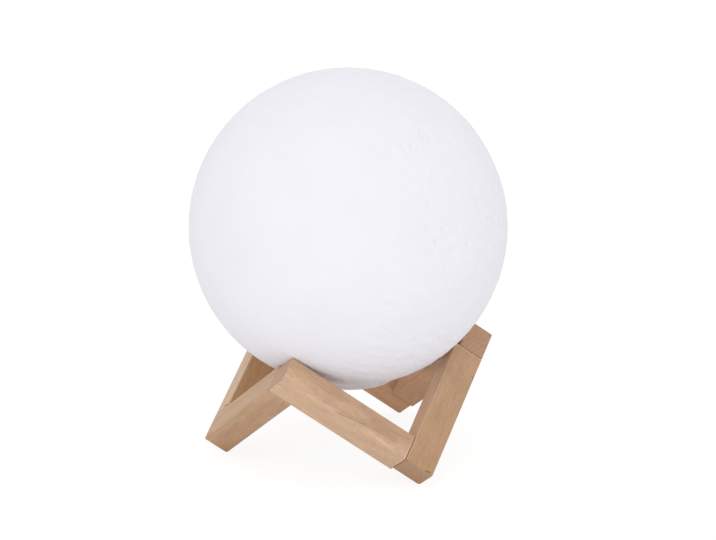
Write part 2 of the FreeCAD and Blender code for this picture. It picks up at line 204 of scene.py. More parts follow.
# %% Scatter of craters
scatter = np.random.default_rng(23)
crater_count = 1500
smallest_crater = 0.0010                  # radius
largest_crater = 0.0085
small_ones_more = 2.0                     # how fast craters get rarer with their size
wide_crater = 0.0030
upland = 0.95                             # roughness that a wide crater needs
relief_depth = 0.36                       # depth of the smallest bowl over its radius
most_worn = 0.25                          # share of its depth that an old crater keeps

spread = scatter.random(crater_count)
size_span = 1 - (smallest_crater / largest_crater) ** small_ones_more
sizes = smallest_crater * (1 - spread * size_span) ** (-1 / small_ones_more)
heights = scatter.uniform(-1, 1, crater_count)
bearings = scatter.uniform(0, 2 * math.pi, crater_count)
level = np.sqrt(1 - heights ** 2)
places = np.stack([level * np.cos(bearings), level * np.sin(bearings), heights], 1)
kept = (sizes < wide_crater) | (roughness_of(places) > upland)
places, sizes = places[kept], sizes[kept]
freshness = scatter.uniform(most_worn, 1.0, len(sizes)) * roughness_of(places)
depths = relief_depth * freshness * np.sqrt(sizes * smallest_crater)
print("craters", len(sizes), "widest radius", round(float(sizes.max()) * 1000, 1), "mm")

# %% [markdown]
# ## The shape of one crater
#
# A crater is a bowl with a raised rim that fades outwards. One could be sculpted and
# copied about, but all of them share one shape, so a formula of the distance from the
# middle is enough. It is written for a crater of radius 1 and depth 1, and then
# stretched to each crater's own size.

# %% One crater
rim_height = 0.35                         # over the ground
apron_width = 0.28                        # how far the rim takes to fade


def crater_shape(distance):
    """Height of a crater over the ground, by distance from its middle in radii."""
    bowl = np.clip(distance, 0, 1) ** 2 * (1 + rim_height) - 1.0
    apron = rim_height * np.exp(-((np.maximum(distance, 1) - 1) / apron_width) ** 2)
    return np.where(distance < 1, bowl, apron)


print("crater's middle, rim and apron:", crater_shape(np.array([0.0, 1.0, 1.5])).round(2))

# %% [markdown]
# ## Rolling ground
#
# Between the craters the ground isn't flat: it swells slowly on the plains and is gritty
# on the uplands. A noise on a grid could show its grid on a ball. Sine waves in random
# directions have none, and are short to write for all points at once. Each layer of
# waves is finer and weaker than the one before.

# %% Rolling ground
waves_in_layer = 7
finer_by = 2.1
weaker_by = 0.52


def smooth_noise(points, frequency, seed, layers=4):
    """Rolling ground: sums of sine waves in random directions, finer each time."""
    made = np.zeros(len(points))
    waves = np.random.default_rng(seed)
    strength = 1.0
    for _ in range(layers):
        for _ in range(waves_in_layer):
            direction = waves.normal(size=3)
            direction *= frequency / np.linalg.norm(direction)
            phase = waves.uniform(0, 2 * math.pi)
            made += strength / waves_in_layer * np.sin(points @ direction + phase)
        frequency *= finer_by
        strength *= weaker_by
    return made


tried = smooth_noise(places, frequency=3.0, seed=5)
print("rolling ground goes from", tried.min().round(2), "to", tried.max().round(2))

# %% [markdown]
# ## Add up the relief
#
# Rolling ground and craters are added for every point of the skin. Working out every
# crater's shape at every point would be slow, so each crater first picks out the points
# near it. The highest ground is rounded off and later taken as the measured surface, so
# the skin is only ever pushed inwards and the globe keeps its size.

# %% Height of the relief over the globe
plain_swell = 0.00012                     # heights of the three kinds of rolling ground
upland_roll = 0.00018
upland_grit = 0.00032
swell_waves = 3.2                         # and how close their waves are
roll_waves = 24.0
grit_waves = 75.0
highest_ground = 0.00022
crater_reach = 2.0                        # how far its apron is followed, in radii


def relief(directions):
    """Height of the ground over unit directions from the globe's middle."""
    rough = roughness_of(directions)
    ground = plain_swell * smooth_noise(directions, swell_waves, seed=5)
    ground += upland_roll * rough * smooth_noise(directions, roll_waves, seed=8, layers=2)
    ground += upland_grit * rough * smooth_noise(directions, grit_waves, seed=9, layers=2)
    for place, size, depth in zip(places, sizes, depths):
        reach = crater_reach * size / globe_radius
        close = np.nonzero(directions @ place > math.cos(reach))[0]
        across = np.linalg.norm(directions[close] - place, axis=1) * globe_radius / size
        ground[close] += crater_shape(across) * depth
    high = ground > 0
    ground[high] = highest_ground * np.tanh(ground[high] / highest_ground)
    return ground


print("ground at the craters' middles:", (relief(places).mean() * 1000).round(3), "mm")

# %% [markdown]
# ## From profile to points
#
# The profile is turned round the axis, as on a lathe, which gives one ring of points for
# each step of the profile. A single point closes the top outside, and another one
# inside. Only the outer points are moved. Near the seat the relief fades away, because
# the base's flange has to lie flat on it.

# %% Points of the skin
level_rim = 0.03                          # radians over which the relief fades at the seat


def skin_points():
    """Points ring by ring and the two top ones, with the relief in the outer ones."""
    radius, height, outer = profile[:, 0], profile[:, 1], profile[:, 2]
    turns = np.linspace(0, 2 * math.pi, around_count, endpoint=False)
    ring_x = radius[:, None] * np.cos(turns)[None, :]
    ring_y = radius[:, None] * np.sin(turns)[None, :]
    ring_z = np.repeat(height[:, None], around_count, axis=1)
    points = np.stack([ring_x, ring_y, ring_z], -1).reshape(-1, 3)
    top = np.array([[0, 0, globe_centre.z + globe_radius]])
    inner_top = np.array([[0, 0, globe_centre.z + inner_radius]])
    points = np.concatenate([points, top, inner_top])

    centre = np.array(globe_centre)
    is_outer = np.concatenate([np.repeat(outer > 0.5, around_count), [True, False]])
    rays = (points[is_outer] - centre) / globe_radius
    ground = relief(rays) - highest_ground
    from_seat = seat_angle - np.arccos(np.clip(rays[:, 2], -1, 1))
    from_seat = np.clip(from_seat / level_rim, 0, 1)
    points[is_outer] = centre + rays * (globe_radius + ground * from_seat)[:, None]
    print("points", len(points), "deepest ground", round(float(-ground.min()) * 1000, 2), "mm")
    return points


globe_points = skin_points()

# %% [markdown]
# ## From points to a mesh
#
# Each ring is joined to the next one with four-sided faces, and the two top points are
# joined to their rings with triangles. The same could be done with a Screw modifier,
# but then the relief would need a second step. The mesh is shaded smooth, and stays
# sharp where the seat and the bore turn a corner.

# %% Faces of the skin
sharp_corner = math.radians(40)


def skin_faces():
    """Faces between the rings of the profile, then the two fans at the top."""
    faces = []
    rings = len(profile)
    for ring in range(rings - 1):
        here = ring * around_count
        below = here + around_count
        for k in range(around_count):
            after = (k + 1) % around_count
            faces.append((here + k, below + k, below + after, here + after))
    top_index = rings * around_count
    last = (rings - 1) * around_count
    for k in range(around_count):
        after = (k + 1) % around_count
        faces.append((top_index, k, after))
        faces.append((top_index + 1, last + after, last + k))
    return faces


skin_mesh = bpy.data.meshes.new("globe_skin")
skin_mesh.from_pydata(globe_points.tolist(), [], skin_faces())
skin_mesh.shade_smooth()
skin_mesh.set_sharp_from_angle(angle=sharp_corner)
print("skin faces", len(skin_mesh.polygons))

# %% [markdown]
# ## The skin takes the shell's place
#
# The built shell is smooth. The skin could be laid over it, but two surfaces a fraction
# of a millimetre apart would show through each other. So the skin, which has the same
# profile, takes the shell's place. It rides on the globe, and rises with it when the
# globe is lifted out of its stand.

# %% Globe skin
globe_skin = put_in_scene("globe_skin", skin_mesh)
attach(globe_skin, "globe")
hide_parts("moon_shell")
print("skin in place of the shell, with", len(globe_skin.data.vertices), "points")

# %% [markdown]
# ## A short way to write shader nodes
#
# A material is a small network, and written out in full it is long to read. So one
# helper fills a node's inputs with values or with what comes out of other nodes, and one
# makes a node, sets its options and fills it. A third one starts a material: it hands
# back the shader that every finish of this lamp shares, and each point's own place.

# %% Shader node helpers
def fill(tree, node, inputs):
    """Fill inputs, given by name or number, with a value or another node's output."""
    for key, value in inputs.items():
        if isinstance(value, bpy.types.NodeSocket):
            tree.links.new(value, node.inputs[key])
        else:
            node.inputs[key].default_value = value


def add(tree, kind, inputs=None, **options):
    """Make a shader node, set its options and fill its inputs."""
    made = tree.nodes.new("ShaderNode" + kind)
    for name, value in options.items():
        setattr(made, name, value)
    fill(tree, made, inputs or {})
    return made


def start_material(name, roughness, **inputs):
    """A new material, its tree, its Principled shader, and the place on the piece."""
    material = bpy.data.materials.new(name)
    material.use_nodes = True
    tree = material.node_tree
    shader = tree.nodes["Principled BSDF"]
    fill(tree, shader, {"Roughness": roughness})
    fill(tree, shader, {key.replace("_", " "): value for key, value in inputs.items()})
    return material, tree, shader, add(tree, "TexCoord").outputs["Object"]


print("made the helpers", [made.__name__ for made in (fill, add, start_material)])

# %% [markdown]
# ## Patterns, colours and bumps
#
# No real surface has one flat colour. Every finish here starts from noise, which is
# drawn out one way for grain, layers or brush marks. A ramp turns its value into
# colours, and a bump turns it into small unevenness of the surface. Pictures of real
# surfaces could be used, but a pattern has no edges and no seams, and can be tuned.

# %% Pattern helpers
def ramp(tree, value, stops):
    """A colour ramp over a value, from (position, (r, g, b)) stops."""
    made = add(tree, "ValToRGB", {0: value})
    elements = made.color_ramp.elements
    while len(elements) < len(stops):
        elements.new(0.5)
    for element, (position, colour) in zip(elements, stops):
        element.position = position
        element.color = (*colour, 1)
    return made.outputs["Color"]


def stretched(tree, vector, scale, offset=(0, 0, 0)):
    """Coordinates multiplied along each axis, to draw a pattern out one way."""
    inputs = {"Vector": vector, "Scale": scale, "Location": offset}
    return add(tree, "Mapping", inputs).outputs[0]


def noise(tree, vector, scale=1.0, detail=2.0, roughness=0.5):
    """A noise value from 0 to 1."""
    inputs = {"Vector": vector, "Scale": scale, "Detail": detail, "Roughness": roughness}
    return add(tree, "TexNoise", inputs).outputs["Fac"]


def bump(tree, height, distance, strength=1.0, under=None):
    """A bump normal from a height, on top of another bump if one is given."""
    inputs = {"Height": height, "Distance": distance, "Strength": strength}
    if under is not None:
        inputs["Normal"] = under
    return add(tree, "Bump", inputs).outputs[0]


print("made the helpers", [made.__name__ for made in (ramp, stretched, noise, bump)])

# %% [markdown]
# ## White printed plastic
#
# Seen in daylight the plastic is a cool white, matt, and slightly deep: light goes a
# few millimetres in and comes out again, which softens the shading in the bowls. Plain
# white paint would look like plaster, so subsurface scattering is used. The printer's
# layers leave a faint level streak, made here with noise that is drawn out level, and
# never by a regular wave, which would shimmer at a distance.

# %% Globe material
light_depth = 0.0015                      # how far light spreads in the plastic
layers_per_metre = 5200
layer_depth = 0.00006
grit_depth = 0.00005


def printed_white(name):
    """Translucent white print with faint layers and a fine grit."""
    material, tree, shader, place = start_material(
        name, 0.62, Subsurface_Weight=0.15, Subsurface_Scale=light_depth,
        Subsurface_Radius=(1.0, 0.92, 0.95), IOR=1.46, Specular_IOR_Level=0.35)
    mottle = noise(tree, place, 38.0, 4.0)
    colour = ramp(tree, mottle, [(0.25, (0.880, 0.874, 0.940)), (0.75, (0.905, 0.902, 0.965))])
    layers = noise(tree, stretched(tree, place, (60, 60, layers_per_metre)), 1.0, 2.0)
    grit = noise(tree, place, 2600.0, 2.0)
    layered = bump(tree, layers, layer_depth, 0.25)
    fill(tree, shader, {"Base Color": colour,
                        "Normal": bump(tree, grit, grit_depth, 0.3, layered)})
    return material


def dress(name, material):
    """Give a built piece its material."""
    slots = nodes[name].data.materials
    slots.clear()
    slots.append(material)


globe_skin.data.materials.append(printed_white("printed_white"))
dress("moon_shell", printed_white("printed_white_shell"))     # for where the shell is shown
print("globe dressed in", globe_skin.data.materials[0].name)

# %% [markdown]
# ## Which way the wood runs
#
# Grain follows the length of each stick. Every stick could be unwrapped and turned by
# hand, but the ring lies along the edges of a cube that stands on its corner, so a
# stick's length is along one of three directions. The longest reach of its points
# along them says which one. From that comes a turn that lays the stick along X, and
# the wood can then be written once, for a stick lying along X.

# %% Stick directions
StickLie = namedtuple("StickLie", "turn middle half_length")
cube_directions = [Vector((math.sqrt(2 / 3) * math.cos(math.radians(azimuth)),
                           math.sqrt(2 / 3) * math.sin(math.radians(azimuth)),
                           1 / math.sqrt(3))) for azimuth in (-60, 60, 180)]
front_right, back_right, left = cube_directions


def stick_lie(name):
    """Rotation that lays a stick along X, where its middle goes, and its half length."""
    points = np.array([vertex.co for vertex in nodes[name].data.vertices])
    spans = [points @ np.array(direction) for direction in cube_directions]
    long_way = max(range(3), key=lambda k: np.ptp(spans[k]))
    order = [long_way, (long_way + 1) % 3, (long_way + 2) % 3]
    turn = Matrix([cube_directions[k] for k in order])
    middle = Vector([-(spans[k].min() + spans[k].max()) / 2 for k in order])
    return StickLie(turn, middle, np.ptp(spans[long_way]) / 2)


stick_names = [f"stand_stick_{number}" for number in range(1, 7)]
stick_lies = [stick_lie(name) for name in stick_names]
print("half lengths", [round(float(lie.half_length), 5) for lie in stick_lies])

# %% [markdown]
# ## Blending and arithmetic
#
# Wood is several patterns over each other, so it needs a few more helpers: one that
# stretches a value from one range to another, one that blends two colours, and one that
# does a step of arithmetic.

# %% Blending helpers
def remap(tree, value, low, high, to_low=0.0, to_high=1.0):
    """Stretch a value from one range to another, and clamp it."""
    inputs = {0: value, 1: low, 2: high, 3: to_low, 4: to_high}
    return add(tree, "MapRange", inputs).outputs[0]


def mix(tree, share, first, second, blend="MIX"):
    """Blend two colours by a share."""
    inputs = {0: share, 6: first, 7: second}
    return add(tree, "Mix", inputs, data_type="RGBA", blend_type=blend).outputs[2]


def calculate(tree, operation, first, second=0.0):
    """One step of arithmetic on values."""
    return add(tree, "Math", {0: first, 1: second}, operation=operation).outputs[0]


print("made the helpers", [made.__name__ for made in (remap, mix, calculate)])

# %% [markdown]
# ## Heartwood, sapwood and painted light
#
# Beech is a pale, slightly pink brown. One side of a stick is paler where it was cut
# nearer to the bark, and the border between the two wanders along the grain. On some
# sticks this paler side is painted light on a face that stands in more light. A straight
# split would look painted, so noise sways it. In the picture the wood is also deeper and
# more orange towards the table, so the heartwood is multiplied by a warm brown there.

# %% Heartwood and sapwood
StickWood = namedtuple("StickWood", "heart sap sap_side sap_from joint_dark cut_shade")
deeper_below = 0.05                       # height under which the wood gets deeper
sap_and_shading_reach = 0.0070                        # from the middle; about there all is the second colour, sapwood and painted light
border_sway = 0.6                         # as a share of the border's width
border_starts = 0.3
border_ends = 1.1


def heart_sap_and_shading(tree, place, laid, turn, wood, shift):
    """Heartwood deepening near the table, one side paler as sapwood and painted light."""
    height = add(tree, "SeparateXYZ", {0: place}).outputs["Z"]
    foot = ramp(tree, remap(tree, height, 0.0, deeper_below),
                [(0.0, (0.90, 0.85, 0.76)), (1.0, (1.0, 1.0, 1.0))])
    inner = mix(tree, 1.0, (*wood.heart, 1), foot, "MULTIPLY")
    inputs = {0: laid, 1: turn @ wood.sap_side}
    lean = add(tree, "VectorMath", inputs, operation="DOT_PRODUCT").outputs["Value"]
    border = sap_and_shading_reach - wood.sap_from    # a wide border wanders more than a narrow one
    sway = noise(tree, stretched(tree, laid, (40, 160, 160), shift), 1.0, 3.0)
    swayed = calculate(tree, "MULTIPLY", sway, border_sway * border)
    lean = calculate(tree, "ADD", lean, swayed)
    share = remap(tree, lean, wood.sap_from + border_starts * border,
                  wood.sap_from + border_ends * border)
    return mix(tree, share, inner, (*wood.sap, 1))


print("all is sapwood from about", sap_and_shading_reach * 1000, "mm off the middle of a stick")

# %% [markdown]
# ## Clouds of pink and yellow
#
# Under the grain a beech stick is softly clouded, lighter and darker, pinker and
# yellower. One flat colour would look like plastic. Two slow noises multiply the colour,
# both drawn out along the stick.

# %% Clouds in the wood
def clouded(tree, laid, colour, shift):
    """The colour with soft light and dark clouds, and a drift of its hue."""
    cloud = noise(tree, stretched(tree, laid, (55, 230, 230), shift), 1.0, 2.0)
    tint = ramp(tree, cloud, [(0.30, (0.93, 0.90, 0.88)), (0.50, (1, 1, 1)),
                              (0.70, (1.07, 1.06, 1.03))])
    colour = mix(tree, 1.0, colour, tint, "MULTIPLY")
    warm = noise(tree, stretched(tree, laid, (70, 300, 300), (5, 3, 1)), 1.0, 2.0)
    hue = ramp(tree, warm, [(0.35, (1.00, 1.00, 0.93)), (0.65, (1.01, 0.98, 1.05))])
    return mix(tree, 1.0, colour, hue, "MULTIPLY")


print("made", clouded.__name__)

# %% [markdown]
# ## Growth bands
#
# A tree grows one band a year round its pith. The pith lies outside these thin sticks,
# somewhere else for each, so the bands cross them as gentle arcs. Wood could be drawn
# as straight stripes, but then a cut end wouldn't fit the sides. Measured from the pith,
# the same bands run along the sides and show as arcs on the ends.

# %% Growth bands
band_width = 0.0024
pith_turn = 2.1                           # radians from one stick's pith to the next one's
pith_distance = 0.035                     # from the middle of the stick
band_sway = 0.006


def growth_bands(tree, laid, seed, shift):
    """A shade that falls slowly over each growth band and ends in a thin darker line."""
    sway = noise(tree, stretched(tree, laid, (14, 60, 60), shift), 1.0, 2.0)
    bearing = seed * pith_turn
    pith = (0, pith_distance * math.cos(bearing), pith_distance * math.sin(bearing))
    flat = stretched(tree, laid, (0.0, 1.0, 1.0), pith)
    from_pith = add(tree, "VectorMath", {0: flat}, operation="LENGTH").outputs["Value"]
    swayed = calculate(tree, "ADD", from_pith, calculate(tree, "MULTIPLY", sway, band_sway))
    through = calculate(tree, "FRACT", calculate(tree, "DIVIDE", swayed, band_width))
    return ramp(tree, through, [(0.0, (1, 1, 1)), (0.7, (0.97, 0.955, 0.93)),
                                (0.9, (0.84, 0.80, 0.75)), (1.0, (1, 1, 1))])


print("a growth band every", band_width * 1000, "mm")

# %% [markdown]
# ## Fibres and rays
#
# Two finer things make it look like beech and not like any wood: streaks of fibre, and
# the short dark dashes of its rays, two or three millimetres long. There are too many
# to draw. Both are noise drawn out along the stick, the fibres further than the rays.
# The rays are the noise's peaks alone, which leaves separate dashes.

# %% Fibres and rays
fibre_stretch = (120, 1500, 1500)         # per metre, along the stick and both ways across
ray_stretch = (380, 2100, 1500)
band_share = 0.30                         # how strongly each shows in the colour
streak_share = 0.60
ray_share = 0.30
ray_shade = 0.58                          # of the heartwood's colour


def fibres_and_rays(tree, laid, shift):
    """Values for the streaks of fibre, and for the dashes of the rays."""
    fibres = noise(tree, stretched(tree, laid, fibre_stretch, shift), 1.0, 3.0, 0.6)
    peaks = noise(tree, stretched(tree, laid, ray_stretch, shift), 1.0, 1.0)
    return fibres, remap(tree, peaks, 0.54, 0.68)


def grained(tree, colour, band, fibres, rays, heart):
    """The colour with its bands, streaks and rays."""
    colour = mix(tree, band_share, colour, band, "MULTIPLY")
    streak = ramp(tree, fibres, [(0.3, (0.86, 0.82, 0.78)), (0.62, (1.06, 1.05, 1.03))])
    colour = mix(tree, streak_share, colour, streak, "MULTIPLY")
    deep = (*[value * ray_shade for value in heart], 1)
    return mix(tree, calculate(tree, "MULTIPLY", rays, ray_share), colour, deep)


print("fibres are", fibre_stretch[1] / fibre_stretch[0], "times as long as they are wide")

# %% [markdown]
# ## Cut ends
#
# On a cut end the fibres are seen end on, as pores, and swallow light, so the wood is
# deeper and redder there. How much deeper depends on the saw and on how it was sanded,
# so each stick has its own shade. A second material on the end's faces would do, but
# the distance from the stick's middle already says where the ends are.

# %% Cut ends
end_fades_from = 0.00035                  # measured from the end of the stick
end_full_from = 0.00008
pore_stretch = (0, 2400, 2400)            # the pattern doesn't change along the stick
redder_by = (1.05, 0.98, 0.95)            # than the heartwood
pore_shades = (0.66, 0.96)                # in a pore, and between the pores


def with_cut_ends(tree, laid, colour, band, half_length, wood, shift):
    """The colour with the deeper end grain on both ends."""
    along = add(tree, "SeparateXYZ", {0: laid}).outputs["X"]
    from_middle = calculate(tree, "ABSOLUTE", along)
    at_end = remap(tree, from_middle, half_length - end_fades_from,
                   half_length - end_full_from)
    pores = noise(tree, stretched(tree, laid, pore_stretch, shift), 1.0, 3.0, 0.7)
    redder = [value * by * wood.cut_shade for value, by in zip(wood.heart, redder_by)]
    in_pore, between = ([value * shade for value in redder] for shade in pore_shades)
    end_colour = ramp(tree, pores, [(0.32, in_pore), (0.62, between)])
    end_colour = mix(tree, 0.9, end_colour, band, "MULTIPLY")
    return mix(tree, at_end, colour, end_colour)


print("end grain within", end_fades_from * 1000, "mm of each end")

# %% [markdown]
# ## The line at a joint
#
# Where a stick butts on the next one, its last millimetre is paler, and a little dark
# glue draws a thin line. Cutting a real groove would be too coarse for a line a few
# tenths of a millimetre wide, so it is colour, and it wanders a little.

# %% Joint line
pale_band_from = 0.0013                      # all measured from the end of the stick
pale_band_to = 0.0006
line_from = 0.00035
line_to = 0.0001
line_sway = 0.0004
pale_band_share = 0.35
pale_band_by = 1.25                        # of the second colour's, which is sapwood and painted light
glue_brown = (0.060, 0.030, 0.016, 1)


def with_joint(tree, laid, colour, half_length, wood, joint_end):
    """The colour with a paler band and the dark line at one end, 1 or -1."""
    along = add(tree, "SeparateXYZ", {0: laid}).outputs["X"]
    to_joint = calculate(tree, "MULTIPLY", along, float(joint_end))
    pale_band = remap(tree, to_joint, half_length - pale_band_from, half_length - pale_band_to,
                   0.0, pale_band_share)
    pale = [min(1.0, value * pale_band_by) for value in wood.sap]
    colour = mix(tree, pale_band, colour, (*pale, 1))
    wander = calculate(tree, "MULTIPLY", noise(tree, laid, 260.0, 2.0), line_sway)
    line = remap(tree, calculate(tree, "ADD", to_joint, wander), half_length - line_from,
                 half_length - line_to, 0.0, wood.joint_dark)
    return mix(tree, line, colour, glue_brown)


print("joint line fades in over", round((line_from - line_to) * 1000, 2), "mm")

# %% [markdown]
# ## Chips and marks
#
# Hand-made sticks have small flaws: a chipped corner, a gap in a joint, a dark line in
# the grain. Each is painted as a short mark with ragged edges between two points of the
# stick. Clean sticks would be simpler, and would look like a drawing.

# %% Chips and marks
Mark = namedtuple("Mark", "start end half_width darkness")
mm = 0.001
# the brown of the flaws, and also of one mark of painted shade along an edge
mark_and_shade_brown = (0.130, 0.068, 0.036, 1)
mark_ragged = 0.6                         # all three as a share of its half width
mark_fades_from = 1.3
mark_full_from = 0.4


def inside_mark(tree, laid, mark):
    """1 near the line between the mark's two points, falling to 0 at its ragged edge."""
    first = Vector(mark.start) * mm
    run = (Vector(mark.end) - Vector(mark.start)) * mm
    half_width = mark.half_width * mm
    offset = add(tree, "VectorMath", {0: laid, 1: first}, operation="SUBTRACT").outputs[0]
    share = add(tree, "VectorMath", {0: offset, 1: run / run.length_squared},
                operation="DOT_PRODUCT").outputs["Value"]
    share = add(tree, "Clamp", {0: share}).outputs[0]
    nearest = add(tree, "VectorMath", {0: run, "Scale": share}, operation="SCALE").outputs[0]
    away = add(tree, "VectorMath", {0: offset, 1: nearest},
               operation="DISTANCE").outputs["Value"]
    ragged = calculate(tree, "MULTIPLY", noise(tree, laid, 900.0, 2.0),
                       mark_ragged * half_width)
    away = calculate(tree, "ADD", away, ragged)
    return remap(tree, away, mark_fades_from * half_width, mark_full_from * half_width)


def with_marks(tree, laid, colour, marks):
    """The colour with each mark painted over it."""
    for mark in marks:
        share = calculate(tree, "MULTIPLY", inside_mark(tree, laid, mark), mark.darkness)
        colour = mix(tree, share, colour, mark_and_shade_brown)
    return colour


print("made", inside_mark.__name__, "and", with_marks.__name__)

# %% [markdown]
# ## Beech, put together
#
# The layers go over each other in the order in which the wood gets them: the tree's
# colours, its clouds and grain, then the saw's cut ends, the joint, and last the marks.
# Sanded bare wood is matt, and a little glossier on the dense fibres. Everything is
# worked out from the place on the laid stick, with no image and nothing to unwrap.

# %% Beech
plank_shift = (0.37, 0.11, 0.23)          # from one stick's place in the plank to the next
fibre_depth = 0.00008
ray_depth = 0.00004


def beech(name, lie, wood, seed, joint_end=0, marks=()):
    """Wood of one stick. The joint end is 1 or -1 along the stick, or 0 for none."""
    material, tree, shader, place = start_material(name, 0.58, Specular_IOR_Level=0.35)
    laid = add(tree, "Mapping", {"Vector": place, "Location": lie.middle,
                                 "Rotation": lie.turn.to_euler()}).outputs[0]
    shift = [seed * step for step in plank_shift]
    fibres, rays = fibres_and_rays(tree, laid, shift)
    band = growth_bands(tree, laid, seed, shift)

    colour = heart_sap_and_shading(tree, place, laid, lie.turn, wood, shift)
    colour = clouded(tree, laid, colour, shift)
    colour = grained(tree, colour, band, fibres, rays, wood.heart)
    colour = with_cut_ends(tree, laid, colour, band, lie.half_length, wood, shift)
    if joint_end:
        colour = with_joint(tree, laid, colour, lie.half_length, wood, joint_end)
    colour = with_marks(tree, laid, colour, marks)

    rough = remap(tree, fibres, 0.3, 0.7, 0.64, 0.50)
    fibrous = bump(tree, fibres, fibre_depth, 0.45)
    fill(tree, shader, {"Base Color": colour, "Roughness": rough,
                        "Normal": bump(tree, rays, ray_depth, 0.5, fibrous)})
    return material


print("made", beech.__name__)

# %% [markdown]
# ## Six sticks from six places in the plank
#
# No two sticks in the picture have quite the same colour. The front one is the palest,
# the right one turns orange towards its foot, and the back ones are browner. One wood
# for all would be quicker, but the joints would get lost. Each stick gets the colour of
# its heartwood and of its sapwood, the side that the sapwood is on, how far from the
# middle it starts, how dark its joint line is, and the shade of its cut ends. On some
# sticks the sapwood colour is painted light on one face, and the back left stick's
# heartwood is made lighter as painted light in the globe's shade.

# %% Six woods
stick_woods = (
    # right: its paler left face, under the globe, is painted light
    StickWood((0.535, 0.346, 0.214), (0.745, 0.500, 0.330), left, 0.0069, 0.75, 1.00),
    # back right
    StickWood((0.690, 0.440, 0.278), (0.535, 0.370, 0.246), front_right, -0.0030, 0.85, 0.80),
    # back left: its lighter heartwood is partly its own tone and partly painted light in the
    # globe's shade
    StickWood((0.760, 0.475, 0.295), (0.780, 0.500, 0.320), left, -0.0030, 0.60, 1.00),
    # left, running back: its pale narrow outer face is a painted highlight
    StickWood((0.590, 0.354, 0.184), (0.660, 0.490, 0.340), left, 0.0067, 0.15, 1.00),
    # front left
    StickWood((0.545, 0.345, 0.212), (0.565, 0.380, 0.233), left, 0.0000, 0.12, 1.00),
    # front: paler towards its lower face, which is painted light
    StickWood((0.552, 0.363, 0.243), (0.685, 0.476, 0.322), -back_right, -0.0036, 0.92, 1.08),
)
print("woods for", len(stick_woods), "sticks")

# %% [markdown]
# ## Where the marks are
#
# The picture shows a chipped corner at the right foot, glue at the back foot, a gap in
# the left joint and a line in the grain of the front stick. One more mark is painted
# shade along an edge of the right stick. Random scratches would be simpler, but these
# are part of how this stand looks. They are given in millimetres on the laid stick, as
# they would be read off with a rule.

# %% Marks on the sticks
stick_marks = {
    1: (Mark((-34.3, -3.4, 6.5), (-33.6, -5.9, 6.5), 0.50, 0.90),      # chip at the foot
        Mark((-34.6, 7.3, 6.3), (-34.9, 6.2, 6.2), 0.35, 0.80),        # nicks in its edges
        Mark((23.3, -6.4, 6.5), (22.2, -7.3, 6.5), 0.55, 0.60),
        Mark((-34.0, 7.5, 6.5), (34.0, 7.5, 6.5), 0.70, 0.35)),        # painted shade along the edge, over its highlight
    2: (Mark((34.4, -4.4, 5.9), (34.7, -5.4, 5.9), 0.45, 0.60),
        Mark((-34.4, -7.5, 6.0), (-34.5, -7.5, -4.5), 1.10, 0.55)),    # glue at the foot
    4: (Mark((-33.1, 7.5, 1.2), (-34.2, 7.5, 6.3), 0.60, 0.90),),      # gap in the joint
    5: (Mark((34.3, -7.5, 6.5), (34.3, -6.5, 6.5), 0.45, 0.60),),
    6: (Mark((5.6, 7.5, -5.2), (-3.2, 7.5, -4.2), 0.48, 0.32),         # line in the grain
        Mark((-3.2, 7.5, -4.2), (-9.6, 7.5, -2.8), 0.42, 0.28),
        Mark((2.0, 7.5, -3.2), (-25.0, 7.5, -1.4), 3.20, 0.15)),       # browner beside it
}
print("marks", sum(len(marks) for marks in stick_marks.values()))

# %% [markdown]
# ## Dress the sticks and dowels
#
# Walking round the ring, every second stick lies the other way along its direction, so
# the end that meets the next stick changes sides too. The dowels are hidden in the
# joints and are of the same wood, with no joint line and no cut end to show.

# %% Dress the sticks
for number, (stick, lie, wood) in enumerate(zip(stick_names, stick_lies, stick_woods), 1):
    joint_end = 1 if number % 2 else -1
    dress(stick, beech(f"beech_{number}", lie, wood, number, joint_end,
                       stick_marks.get(number, ())))
    print(stick, "length", round(lie.half_length * 2 / mm, 1), "mm")

endless_lie = StickLie(Matrix.Identity(3), Vector((0, 0, 0)), 1.0)    # its ends lie far away
dowel_wood = StickWood((0.60, 0.42, 0.27), (0.66, 0.48, 0.33), left, 0.0, 0.0, 1.0)
dress("stand_dowels", beech("beech_dowels", endless_lie, dowel_wood, 7))

# %% [markdown]
# ## White for the camera, not for the lamp
#
# The picture shows the lamp on plain white. A floor bright enough for that would throw
# light up at the lamp and wash it out. So the floor and the surroundings are white only
# where the camera looks at them. Glossy and clear parts see the same white, or they
# would mirror a greyer room.

# %% White for the camera
def white_to_camera(tree):
    """1 for rays from the camera, or seen in gloss or through clear plastic."""
    path = add(tree, "LightPath").outputs
    seen = calculate(tree, "MAXIMUM", path["Is Camera Ray"], path["Is Glossy Ray"])
    return calculate(tree, "MAXIMUM", seen, path["Is Transmission Ray"])


print("made", white_to_camera.__name__)

# %% [markdown]
# ## The floor
#
# The floor is matt and nearly white, and keeps the lamp's soft shadow: it is mixed from
# a surface that takes light and a glow that only the camera gets. A glow alone would
# show no shadow, and the lamp would seem to float.

# %% Floor
floor_reach = 6.0
floor_glow = 1.08
glow_share = 0.80


